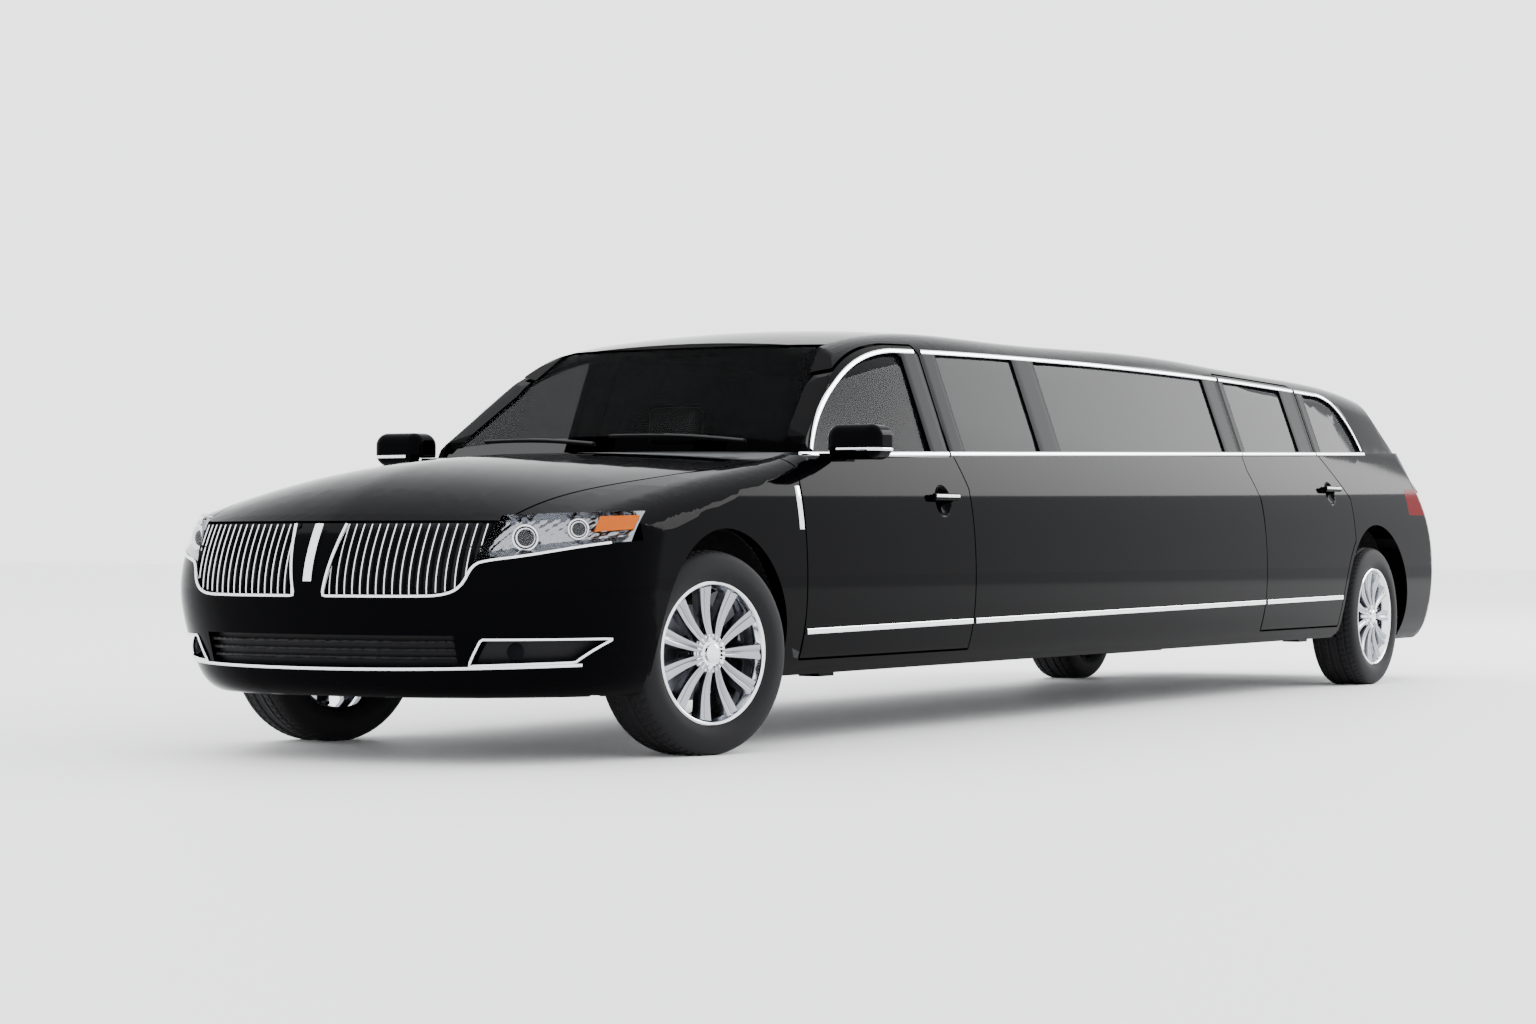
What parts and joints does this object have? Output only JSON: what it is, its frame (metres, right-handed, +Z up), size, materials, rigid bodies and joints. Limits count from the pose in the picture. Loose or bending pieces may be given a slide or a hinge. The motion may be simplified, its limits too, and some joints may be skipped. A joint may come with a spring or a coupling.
{
  "type": "stretch limousine",
  "caption": "Long passenger car with hinged doors, hood and tailgate, steered front wheels and a row of dark side windows, built as separate panels.",
  "frame": {"origin": "on the ground under the middle of the overall box", "axes": "+X to the car's left, +Y to its rear, +Z up"},
  "size_m": [2.404, 9.3801, 1.7221],
  "materials": {
    "paint": "gloss black",
    "tyre": "matte",
    "rim": "bright",
    "steel": "coated",
    "tinted_glass": "tinted",
    "underbody": "satin black",
    "liner": "matte",
    "grille": "bright",
    "lamp_lens": "clear",
    "tail_lens": "red",
    "engine": "cast",
    "trim": "grained",
    "leather": "black"
  },
  "bodies": {
    "body": {"body_side_left": "paint", "body_side_right": "paint", "roof_panel": "paint", "front_fenders": "paint", "front_bumper": "paint", "rear_bumper": "paint", "floor_pan": "underbody", "wheel_liners": "liner", "windshield": "tinted_glass", "fixed_side_glass": "tinted_glass", "upper_grille": "grille", "lower_grille": "grille", "headlamps": "lamp_lens", "tail_lamps": "tail_lens", "engine": "engine", "front_subframe": "steel", "rear_axle": "steel", "exhaust": "steel", "dashboard": "trim", "steering_wheel": "trim", "front_seats": "leather", "cabin_seats": "leather", "hinge_leaves": "steel"},
    "hood": {"hood": "paint"},
    "liftgate": {"liftgate": "paint", "liftgate_glass": "tinted_glass"},
    "front_left_door": {"front_left_door": "paint", "front_left_glass": "tinted_glass", "front_left_mirror": "paint"},
    "front_left_wheel": {"front_left_tyre": "tyre", "front_left_rim": "rim"},
    "front_right_door": {"front_right_door": "paint", "front_right_glass": "tinted_glass", "front_right_mirror": "paint"},
    "front_right_wheel": {"front_right_tyre": "tyre", "front_right_rim": "rim"},
    "rear_left_door": {"rear_left_door": "paint", "rear_left_glass": "tinted_glass"},
    "rear_left_wheel": {"rear_left_tyre": "tyre", "rear_left_rim": "rim"},
    "rear_right_door": {"rear_right_door": "paint", "rear_right_glass": "tinted_glass"},
    "rear_right_wheel": {"rear_right_tyre": "tyre", "rear_right_rim": "rim"},
    "left_knuckle": {"left_knuckle": "steel"},
    "right_knuckle": {"right_knuckle": "steel"}
  },
  "joints": [
    {"name": "left_steer", "type": "hinge", "parent": "body", "child": "left_knuckle", "pos_m": [0.79, -3.505, 0.372], "axis": [0, 0, 1], "range_deg": [-15, 45]},
    {"name": "front_left_spin", "type": "hinge", "parent": "left_knuckle", "child": "front_left_wheel", "pos_m": [0.79, -3.505, 0.372], "axis": [0.9659, -0.2588, 0], "continuous": true},
    {"name": "rear_left_spin", "type": "hinge", "parent": "body", "child": "rear_left_wheel", "pos_m": [0.86, 3.425, 0.372], "axis": [1, 0, 0], "continuous": true},
    {"name": "front_left_door_hinge", "type": "hinge", "parent": "body", "child": "front_left_door", "pos_m": [0.97, -2.87, 0.6], "axis": [0, 0, -1], "range_deg": [0, 65]},
    {"name": "rear_left_door_hinge", "type": "hinge", "parent": "body", "child": "rear_left_door", "pos_m": [0.97, 1.835, 0.6], "axis": [0, 0, -1], "range_deg": [0, 65]},
    {"name": "right_steer", "type": "hinge", "parent": "body", "child": "right_knuckle", "pos_m": [-0.79, -3.505, 0.372], "axis": [0, 0, 1], "range_deg": [-15, 45]},
    {"name": "front_right_spin", "type": "hinge", "parent": "right_knuckle", "child": "front_right_wheel", "pos_m": [-0.79, -3.505, 0.372], "axis": [0.9659, -0.2588, 0], "continuous": true},
    {"name": "rear_right_spin", "type": "hinge", "parent": "body", "child": "rear_right_wheel", "pos_m": [-0.86, 3.425, 0.372], "axis": [1, 0, 0], "continuous": true},
    {"name": "front_right_door_hinge", "type": "hinge", "parent": "body", "child": "front_right_door", "pos_m": [-0.97, -2.87, 0.6], "axis": [0, 0, 1], "range_deg": [0, 65]},
    {"name": "rear_right_door_hinge", "type": "hinge", "parent": "body", "child": "rear_right_door", "pos_m": [-0.97, 1.835, 0.6], "axis": [0, 0, 1], "range_deg": [0, 65]},
    {"name": "hood_hinge", "type": "hinge", "parent": "body", "child": "hood", "pos_m": [0, -3.06, 1.073], "axis": [-1, 0, 0], "range_deg": [0, 50]},
    {"name": "liftgate_hinge", "type": "hinge", "parent": "body", "child": "liftgate", "pos_m": [0, 3.98, 1.571], "axis": [1, 0, 0], "range_deg": [0, 80]}
  ],
  "couplings": [
    {"joint": "right_steer", "follows": "left_steer", "ratio": 1}
  ]
}
